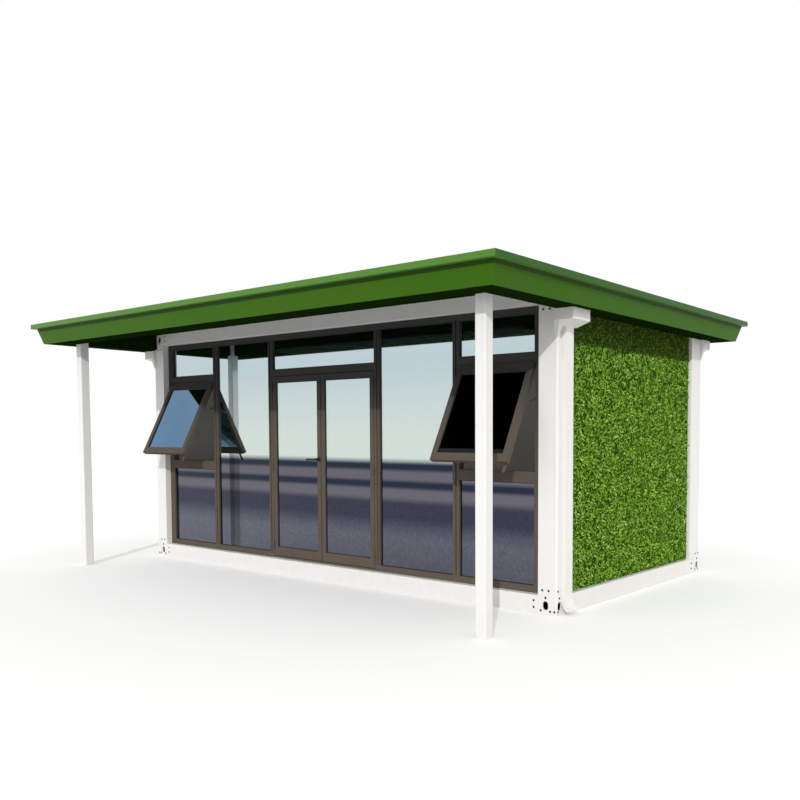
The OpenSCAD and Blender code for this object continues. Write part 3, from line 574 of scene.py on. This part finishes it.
@once
def galvanised(name):
    """Galvanised steel with its spangle."""
    material, tree, shader, where = new_material(name)
    cells = add(tree, "ShaderNodeTexVoronoi", {"Vector": where, "Scale": 60.0})
    grey = add(tree, "ShaderNodeSeparateColor", {"Color": cells.outputs["Color"]}).outputs[0]
    shade = toned(tree, house().colours.zinc, ranged(tree, grey, 0.0, 1.0, 0.85, 1.12))
    tree.links.new(shade, shader.inputs["Base Color"])
    tree.links.new(ranged(tree, grey, 0.0, 1.0, 0.32, 0.5), shader.inputs["Roughness"])
    shader.inputs["Metallic"].default_value = 0.85
    return material


@once
def floor_planks(name):
    """Wooden floor boards that run along the house."""
    board = house().colours.board
    dark_board = [0.55 * part for part in board]
    material, tree, shader, where = new_material(name)
    planks = add(tree, "ShaderNodeTexBrick", {
        "Vector": where, "Scale": 1.0, "Brick Width": 1.2, "Row Height": 0.14, "Mortar Size": 0.002,
        "Color1": (0.9, 0.9, 0.9), "Color2": (0.6, 0.6, 0.6), "Mortar": (0.1, 0.1, 0.1)})
    grain = noise(tree, stretched(tree, where, (3.0, 60.0, 60.0)), scale=1.0, detail=8.0, roughness=0.6)
    wood = blend(tree, ranged(tree, grain, 0.3, 0.7), board, dark_board)
    shade = blend(tree, 0.6, wood, planks.outputs["Color"], "MULTIPLY")
    tree.links.new(shade, shader.inputs["Base Color"])
    shader.inputs["Roughness"].default_value = 0.5
    bumped(tree, shader, grain, 0.0004)
    return material


@once
def leaf_green(name):
    """Leaves of the grass: each has its own shade, patches are darker or lighter, and a painted shadow of the eaves
    darkens the top.
    """
    colours = house().colours
    material, tree, shader, where = new_material(name)
    own = add(tree, "ShaderNodeAttribute", attribute_name="shade").outputs["Fac"]
    patches = ranged(tree, noise(tree, where, scale=11.0, detail=3.0, roughness=0.6), 0.3, 0.7)
    mixed = maths(tree, "ADD", maths(tree, "MULTIPLY", own, 0.6), maths(tree, "MULTIPLY", patches, 0.4))
    green = ramped(tree, mixed, [(0.05, colours.leaf_dark), (0.5, colours.leaf_mid), (0.95, colours.leaf_light)])
    # Painted shadow: the top of the grass, under the eaves, is painted darker
    in_painted_shadow = 0.38
    eaves_shadow = ranged(tree, height_of(tree, where), *EAVES_PAINTED_SHADOW, 1.0, in_painted_shadow)
    tree.links.new(toned(tree, green, eaves_shadow), shader.inputs["Base Color"])
    shader.inputs["Roughness"].default_value = 0.6
    shader.inputs["Specular IOR Level"].default_value = 0.04
    return material


# ---------------------------------------------------------------- meshes


def finish_piece(piece, body):
    """Give a piece its body."""
    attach(piece, body)
    return piece


def new_piece(name, data):
    """An object with the given mesh, light or camera, at the origin."""
    piece = bpy.data.objects.new(name, data)
    bpy.context.scene.collection.objects.link(piece)
    return piece


def applied(piece):
    """Turn a piece's modifiers into its mesh."""
    bpy.context.view_layer.update()
    graph = bpy.context.evaluated_depsgraph_get()
    mesh = bpy.data.meshes.new_from_object(piece.evaluated_get(graph))
    piece.modifiers.clear()
    old = piece.data
    piece.data = mesh
    bpy.data.meshes.remove(old)
    return piece


def merged_copy(node):
    """A copy of a CAD node's mesh with its doubles merged and its flat faces joined."""
    mesh = NODES[node].data.copy()
    shape = bmesh.new()
    shape.from_mesh(mesh)
    bmesh.ops.remove_doubles(shape, verts=shape.verts, dist=MERGE_DISTANCE)
    bmesh.ops.dissolve_limit(shape, angle_limit=FLAT_ANGLE, verts=shape.verts, edges=shape.edges)
    shape.to_mesh(mesh)
    shape.free()
    return mesh


def rounded(node, radius, material, smooth=True):
    """Replace a CAD node by a copy with softly rounded edges, shaded smooth or left with flat faces."""
    piece = new_piece("rounded_" + node, merged_copy(node))
    bevel = piece.modifiers.new("Edges", "BEVEL")
    bevel.width = radius
    bevel.segments = 2
    bevel.limit_method = "ANGLE"
    bevel.angle_limit = ROUNDED_ANGLE
    applied(piece)
    for face in piece.data.polygons:
        face.use_smooth = smooth
    if smooth:
        piece.data.set_sharp_from_angle(angle=SHARP_ANGLE)
        weights = piece.modifiers.new("Flat faces", "WEIGHTED_NORMAL")
        weights.keep_sharp = True
        weights.weight = 100
        applied(piece)
    piece.data.materials.clear()
    piece.data.materials.append(material)
    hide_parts(node)
    return finish_piece(piece, BODY_OF[node])


def repaint(node, material):
    """Give a CAD node its material."""
    NODES[node].data.materials.clear()
    NODES[node].data.materials.append(material)


def islands(node):
    """The separate solids of a CAD node, each as a list of its corner points."""
    shape = bmesh.new()
    shape.from_mesh(NODES[node].data)
    bmesh.ops.remove_doubles(shape, verts=shape.verts, dist=MERGE_DISTANCE)
    waiting = set(shape.verts)
    found = []
    for seed in shape.verts:
        if seed not in waiting:
            continue
        waiting.remove(seed)
        island = [seed]
        # The island grows while it is walked
        for vert in island:
            for edge in vert.link_edges:
                other = edge.other_vert(vert)
                if other in waiting:
                    waiting.remove(other)
                    island.append(other)
        found.append([vert.co.copy() for vert in island])
    shape.free()
    return found


def point_mesh(name, points):
    """A mesh of loose points, each with the direction that it faces."""
    mesh = bpy.data.meshes.new(name)
    mesh.from_pydata([place for place, _ in points], [], [])
    faces = mesh.attributes.new("faces", "FLOAT_VECTOR", "POINT")
    for number, (_, direction) in enumerate(points):
        faces.data[number].vector = direction
    return mesh


def pane_outlines(node, lap):
    """The outlines of a node's panes on both their faces, each set in from the pane's edge."""
    outlines = []
    square = 1e-5
    for corners in islands(node):
        first = corners[0]
        steps = sorted((corner - first for corner in corners[1:]), key=lambda step: step.length)
        thick, across = steps[0], steps[1]
        up = next(step for step in steps[2:] if max(abs(step.dot(thick)), abs(step.dot(across))) < square)
        inner = first + across.normalized() * lap + up.normalized() * lap
        across = across.normalized() * (across.length - 2.0 * lap)
        up = up.normalized() * (up.length - 2.0 * lap)
        for start in (inner, inner + thick):
            outlines.append((start, start + across, start + across + up, start + up))
    return outlines


def outline_mesh(name, outlines):
    """A mesh of closed outlines with no faces."""
    mesh = bpy.data.meshes.new(name)
    points = [point for outline in outlines for point in outline]
    edges = [(n, n - 3 if n % 4 == 3 else n + 1) for n in range(len(points))]
    mesh.from_pydata(points, edges, [])
    return mesh


def wall_mesh(name, corner, across, up):
    """A flat patch of wall from one corner, given its two sides."""
    mesh = bpy.data.meshes.new(name)
    corner, across, up = Vector(corner), Vector(across), Vector(up)
    mesh.from_pydata([corner, corner + across, corner + across + up, corner + up], [], [(0, 1, 2, 3)])
    return mesh


# ---------------------------------------------------------------- operators


def dress(nodes, radius, material):
    """Round the edges of several CAD nodes and give them one material."""
    for node in nodes:
        rounded(node, radius, material)


class HouseOperator:
    """What every operator of the house shares."""

    bl_options = {"REGISTER", "UNDO"}


class DRESS_OT_steel(HouseOperator, bpy.types.Operator):
    """Paint the frame's beams, castings and posts white"""

    bl_idname = "container_house.steel"
    bl_label = "Steel frame"

    def execute(self, context):
        edge = house().sizes.steel_edge
        paint = coated_sheet("frame_paint", "steel")
        nodes = sorted(n for n in NODES if n.endswith(("_beam", "_beams", "_post")) and n != "canopy_beams")
        dress(nodes, edge, paint)
        castings = rounded("corner_castings", edge, paint)
        # Painted shade inside the hollow castings
        castings.data.materials.append(coated_sheet("casting_inside_shade", "inside", dust=0.0, streaks=0.0, gloss=0.7))
        paint_shade_inside(castings.data)
        return {"FINISHED"}


def paint_shade_inside(mesh):
    """Give the faces inside the hollow castings their second material, a dark painted shade."""
    skin = 0.009
    for face in mesh.polygons:
        x, y, z = face.center
        off_ends = min(x - LEFT, RIGHT - x)
        off_faces = min(y - FRONT, BACK - y)
        off_levels = min(z - GROUND, CASTING_TOP - z, abs(z - FLOOR_TOP), abs(z - HEAD))
        within_skin = min(off_ends, off_faces, off_levels) < skin
        inner_side = off_ends > CASTING_LENGTH - skin or off_faces > POST_DEPTH - skin
        if not within_skin and not inner_side:
            face.material_index = 1


def beside_pipe(bolts):
    """The bolts of a face that its downpipe leaves free."""
    return [(along, z) for along, z in bolts if not PIPE_SPAN[0] < along < PIPE_SPAN[1]]


class DRESS_OT_bolts(HouseOperator, bpy.types.Operator):
    """Put the bolts round the oval holes of the castings"""

    bl_idname = "container_house.bolts"
    bl_label = "Casting bolts"

    def execute(self, context):
        sizes = house().sizes
        forwards, backwards = (0.0, -1.0, 0.0), (0.0, 1.0, 0.0)
        points = []
        for end, out in ((LEFT, -1.0), (RIGHT, 1.0)):
            outwards = (out, 0.0, 0.0)
            points += [((end - out * along, FRONT, z), forwards) for along, z in LONG_FACE_BOLTS]
            points += [((end, FRONT + along, z), outwards) for along, z in beside_pipe(SHORT_FACE_BOLTS)]
            points += [((end, BACK - along, z), outwards) for along, z in SHORT_FACE_BOLTS]
            points += [((end - out * along, BACK, z), backwards) for along, z in beside_pipe(LONG_FACE_BOLTS)]
        bolts = grown("casting_bolts", point_mesh("casting_bolts", points), bolts_group(), {
            "Radius": sizes.bolt_radius, "Height": sizes.bolt_height,
            "Material": grained("bolt_coat", "rubber", gloss=0.45)})
        finish_piece(bolts, HOUSE_BODY)
        return {"FINISHED"}


class DRESS_OT_rainwater(HouseOperator, bpy.types.Operator):
    """Paint the leader heads and the downpipes white"""

    bl_idname = "container_house.rainwater"
    bl_label = "Rainwater pipes"

    def execute(self, context):
        edge = house().sizes.steel_edge
        paint = coated_sheet("frame_paint", "steel")
        rounded("downpipes", edge, paint)
        rounded("leader_heads", edge, paint, smooth=False)
        return {"FINISHED"}


class DRESS_OT_roof(HouseOperator, bpy.types.Operator):
    """Paint the roof's sheet, edge, fascia, soffit and canopy beams green"""

    bl_idname = "container_house.roof"
    bl_label = "Roof"

    def execute(self, context):
        edge = house().sizes.steel_edge
        # Height of the painted shadow that the edge band casts on the fascia's top
        band_shadow_height = 0.034
        paint = coated_sheet("edge_paint", "edge", dust=0.0, streaks=0.05, gloss=0.45, shine=0.2)
        band = rounded("edge_band", edge, paint)
        band.data.materials.append(
            coated_sheet("edge_end_shade_paint", "edge_end_shade", dust=0.0, streaks=0.03, gloss=0.45, shine=0.12))
        # Faces that look along the house take the painted shade of the ends
        for face in band.data.polygons:
            end_face = abs(face.normal.x) > 0.7
            face.material_index = int(end_face)
        rounded("fascia", edge, coated_sheet("fascia_paint", "fascia", dust=0.0, streaks=0.02, gloss=0.5, shine=0.1,
                                             shadow_from=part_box("edge_band")[0].z - band_shadow_height))
        rounded("roof_sheet", edge,
                coated_sheet("roof_paint", "roof", dust=0.0, streaks=0.15, gloss=0.45, shine=0.2))
        # The soffit, eaves board and canopy beams take the soffit's green, darkened as painted shade
        dress(["soffit_board", "eaves_board", "canopy_beams"], edge,
              coated_sheet("soffit_shade_paint", "soffit", dust=0.0, streaks=0.0, gloss=0.45, shine=0.0, peel=0.0))
        return {"FINISHED"}


class DRESS_OT_roof_screws(HouseOperator, bpy.types.Operator):
    """Screw the roof sheet down along its ribs"""

    bl_idname = "container_house.roof_screws"
    bl_label = "Roof screws"

    def execute(self, context):
        sizes = house().sizes
        low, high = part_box("roof_sheet")
        tolerance = 1e-4
        corners = [vertex.co for vertex in NODES["roof_sheet"].data.vertices]
        crests = sorted({round(corner.x, 4) for corner in corners if high.z - corner.z < tolerance})
        ribs = [(left + right) / 2.0 for left, right in zip(crests[::2], crests[1::2])]
        rows = int((high.y - low.y) / sizes.screw_gap)
        first = (low.y + high.y - (rows - 1) * sizes.screw_gap) / 2.0
        upwards = (0.0, 0.0, 1.0)
        points = [((rib, first + row * sizes.screw_gap, high.z), upwards) for rib in ribs for row in range(rows)]
        screws = grown("roof_screws", point_mesh("roof_screws", points), bolts_group(), {
            "Radius": sizes.screw_radius, "Height": sizes.bolt_height, "Material": galvanised("galvanised_steel")})
        finish_piece(screws, HOUSE_BODY)
        return {"FINISHED"}


class DRESS_OT_room(HouseOperator, bpy.types.Operator):
    """Finish the walls, the floor and the ceiling"""

    bl_idname = "container_house.room"
    bl_label = "Walls and floor"

    def execute(self, context):
        sheet = coated_sheet("wall_sheet", "wall", dust=0.05, streaks=0.02)
        for node in ("back_wall", "left_wall", "right_wall", "inner_ceiling"):
            repaint(node, sheet)
        repaint("floor_board", floor_planks("floor_planks"))
        repaint("floor_joists", galvanised("galvanised_steel"))
        return {"FINISHED"}


class DRESS_OT_window_frames(HouseOperator, bpy.types.Operator):
    """Coat the window frames, the sashes, the doors and their fittings"""

    bl_idname = "container_house.window_frames"
    bl_label = "Window frames and doors"

    def execute(self, context):
        frame_coat = grained("window_coat", "aluminium", gloss=0.5, shine=0.0, porch_shade=0.5)
        dress(["left_window_frame", "right_window_frame", "door_frame", "left_window_sash", "right_window_sash",
               "left_door_leaf", "right_door_leaf"], house().sizes.alu_edge, frame_coat)
        for node in ("door_hinges", "window_fittings"):
            repaint(node, frame_coat)
        for node in ("lever_roses", "door_lever"):
            repaint(node, grained("handle_coat", "handle", gloss=0.35))
        return {"FINISHED"}


class DRESS_OT_glass(HouseOperator, bpy.types.Operator):
    """Tint the glass"""

    bl_idname = "container_house.glass"
    bl_label = "Glass"

    def execute(self, context):
        for node in ("fixed_glass", "left_door_glass", "right_door_glass"):
            repaint(node, solar_glass("solar_glass"))
        panes = NODES["sash_glass"].data
        panes.materials.clear()
        # Each pane's tint is a painted reflection: sky on the left, shade on the right
        panes.materials.append(sash_glass("left_sash_glass", "sky_reflection_sash_glass"))
        panes.materials.append(sash_glass("right_sash_glass", "shade_reflection_sash_glass"))
        middle = (LEFT + RIGHT) / 2.0
        for face in panes.polygons:
            face.material_index = int(face.center.x > middle)
        return {"FINISHED"}


class DRESS_OT_gaskets(HouseOperator, bpy.types.Operator):
    """Lay a rubber bead round both faces of every pane"""

    bl_idname = "container_house.gaskets"
    bl_label = "Gaskets"

    def execute(self, context):
        radius = house().sizes.gasket
        pane_in_frame = 0.0115
        lap = pane_in_frame + 0.5 * radius
        rubber = grained("gasket_rubber", "rubber", gloss=0.6)
        for nodes in (("fixed_glass", "sash_glass"), ("left_door_glass",), ("right_door_glass",)):
            outlines = [outline for node in nodes for outline in pane_outlines(node, lap)]
            name = nodes[0] + "_gaskets"
            beads = grown(name, outline_mesh(name, outlines), beads_group(), {"Radius": radius, "Material": rubber})
            finish_piece(beads, BODY_OF[nodes[0]])
        return {"FINISHED"}


class DRESS_OT_grass(HouseOperator, bpy.types.Operator):
    """Cover the walls with grass"""

    bl_idname = "container_house.grass"
    bl_label = "Grass"

    def execute(self, context):
        turf = grained("grass_backing", "turf", gloss=0.8, scale=300.0, shine=0.03)
        for node in ("back_grass", "left_grass", "right_grass"):
            repaint(node, turf)
        _, sizes, stage = house()
        for number, (name, corner, across, up) in enumerate(self.patches()):
            leaves = grown(name, wall_mesh(name, corner, across, up), leaves_group(), {
                "Leaf Length": sizes.leaf_length, "Leaf Width": sizes.leaf_width, "Spacing": sizes.leaf_gap,
                "Seed": stage.seed + 10 * number, "Material": leaf_green("grass_leaves")})
            finish_piece(leaves, HOUSE_BODY)
        return {"FINISHED"}

    def patches(self):
        """The outer faces of the grass boards, the back one in thirds: a name, a corner and two sides for each."""
        margin = 0.004
        found = []
        for side, out in (("left", -1.0), ("right", 1.0)):
            low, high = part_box(side + "_grass")
            face, start = (low.x, high.y - margin) if out < 0.0 else (high.x, low.y + margin)
            across = (0.0, out * (high.y - low.y - 2.0 * margin), 0.0)
            up = (0.0, 0.0, high.z - low.z - 2.0 * margin)
            found.append((side + "_leaves", (face, start, low.z + margin), across, up))
        low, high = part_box("back_grass")
        third = (high.x - low.x - 2.0 * margin) / 3.0
        up = (0.0, 0.0, high.z - low.z - 2.0 * margin)
        for number, name in enumerate(("back_right_leaves", "back_middle_leaves", "back_left_leaves")):
            corner = (high.x - margin - number * third, high.y, low.z + margin)
            found.append((name, corner, (-third, 0.0, 0.0), up))
        return found


class DRESS_OT_stage(HouseOperator, bpy.types.Operator):
    """Set up the floor, the lights and the camera"""

    bl_idname = "container_house.stage"
    bl_label = "Stage"

    def execute(self, context):
        stage = house().stage
        context.scene.view_settings.view_transform = "Standard"
        studio_floor(stage)
        studio_world(stage)
        key_light(stage)
        room_light(stage)
        camera()
        return {"FINISHED"}


def shown_ray(tree):
    """1 for rays that show the background: from the camera, off a mirror or through glass."""
    path = tree.nodes.new("ShaderNodeLightPath")
    seen = maths(tree, "ADD", path.outputs["Is Camera Ray"], path.outputs["Is Glossy Ray"])
    total = maths(tree, "ADD", seen, path.outputs["Is Transmission Ray"])
    return maths(tree, "MINIMUM", total, 1.0)


def studio_floor(stage):
    """A wide pale floor that keeps the house's shadow and fades to white far away."""
    reach = 60.0
    fade = (9.0, 26.0)
    white, black = (1.0, 1.0, 1.0), (0.0, 0.0, 0.0)
    shape = bmesh.new()
    bmesh.ops.create_grid(shape, x_segments=1, y_segments=1, size=reach)
    mesh = bpy.data.meshes.new("studio_floor")
    shape.to_mesh(mesh)
    shape.free()
    floor = new_piece("studio_floor", mesh)
    material, tree, shader, where = new_material("studio_floor")
    shader.inputs["Roughness"].default_value = 0.9
    shader.inputs["Specular IOR Level"].default_value = 0.0
    far = ranged(tree, vector_maths(tree, "LENGTH", where), *fade)
    tree.links.new(blend(tree, far, stage.floor, black), shader.inputs["Base Color"])
    glow = add(tree, "ShaderNodeMix", {0: far, 2: stage.floor_glow, 3: 1.0}).outputs[0]
    tree.links.new(maths(tree, "MULTIPLY", glow, shown_ray(tree)), shader.inputs["Emission Strength"])
    shader.inputs["Emission Color"].default_value = (*white, 1.0)
    mesh.materials.append(material)


def studio_world(stage):
    """Soft light from all round, with a white background where it shows."""
    world = bpy.data.worlds.new("studio")
    bpy.context.scene.world = world
    world.use_nodes = True
    tree = world.node_tree
    tree.nodes.clear()
    strength = add(tree, "ShaderNodeMix", {0: shown_ray(tree), 2: stage.sky, 3: 1.0}).outputs[0]
    background = add(tree, "ShaderNodeBackground", {"Color": (1.0, 1.0, 1.0), "Strength": strength})
    output = tree.nodes.new("ShaderNodeOutputWorld")
    tree.links.new(background.outputs[0], output.inputs["Surface"])


def key_light(stage):
    """A low sun from the front right, which lights the front and the right end."""
    towards_sun = Vector((0.505, -0.760, 0.455))
    light = bpy.data.lights.new("key", "SUN")
    light.energy = stage.sun
    light.angle = stage.sun_angle
    new_piece("key", light).rotation_euler = towards_sun.to_track_quat("Z", "Y").to_euler()


def room_light(stage):
    """A soft lamp under the ceiling, so that the room isn't black behind the open windows."""
    share_of_length, share_of_width, drop = 0.7, 0.5, 0.05
    low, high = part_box("inner_ceiling")
    light = bpy.data.lights.new("room", "AREA")
    light.energy = stage.room
    light.shape = "RECTANGLE"
    light.size = share_of_length * (high.x - low.x)
    light.size_y = share_of_width * (high.y - low.y)
    new_piece("room", light).location = ((low.x + high.x) / 2.0, (low.y + high.y) / 2.0, low.z - drop)


def camera():
    """A camera at eye height in front of the right corner of the porch."""
    from_corner = Vector((3.8195, -6.0149, 1.5669))
    dip, turn = 0.0540, 0.6492
    eye = bpy.data.cameras.new("camera")
    eye.sensor_width = 36.0
    eye.lens = 37.81
    eye.shift_x = -0.1087
    eye.shift_y = 0.0982
    eye.clip_end = 500.0
    holder = new_piece("camera", eye)
    holder.location = Vector((RIGHT, FRONT, GROUND)) + from_corner
    holder.rotation_euler = (math.pi / 2 - dip, 0.0, turn)
    bpy.context.scene.camera = holder


class DRESS_PT_panel(bpy.types.Panel):
    """The house's settings and steps"""

    bl_idname = "DRESS_PT_container_house"
    bl_label = "Container House"
    bl_space_type = "VIEW_3D"
    bl_region_type = "UI"
    bl_category = "Container House"

    def draw(self, context):
        layout = self.layout
        for operator in STEPS:
            layout.operator(operator.bl_idname)
        for settings in house():
            box = layout.box()
            for name in settings.__annotations__:
                box.prop(settings, name)


STEPS = (DRESS_OT_steel, DRESS_OT_bolts, DRESS_OT_rainwater, DRESS_OT_roof, DRESS_OT_roof_screws, DRESS_OT_room,
         DRESS_OT_window_frames, DRESS_OT_glass, DRESS_OT_gaskets, DRESS_OT_grass, DRESS_OT_stage)
SETTINGS = (ContainerHouseColours, ContainerHouseSizes, ContainerHouseStage)


def register():
    """Add the settings, the steps and the panel."""
    for cls in SETTINGS + STEPS + (DRESS_PT_panel,):
        bpy.utils.register_class(cls)
    bpy.types.Scene.container_house_colours = PointerProperty(type=ContainerHouseColours)
    bpy.types.Scene.container_house_sizes = PointerProperty(type=ContainerHouseSizes)
    bpy.types.Scene.container_house_stage = PointerProperty(type=ContainerHouseStage)


def unregister():
    """Take the settings, the steps and the panel away."""
    del bpy.types.Scene.container_house_stage
    del bpy.types.Scene.container_house_sizes
    del bpy.types.Scene.container_house_colours
    for cls in reversed(SETTINGS + STEPS + (DRESS_PT_panel,)):
        bpy.utils.unregister_class(cls)


def main():
    """Dress the house step by step."""
    register()
    for step in STEPS:
        group, name = step.bl_idname.split(".")
        getattr(getattr(bpy.ops, group), name)()


if __name__ == "__main__":
    main()
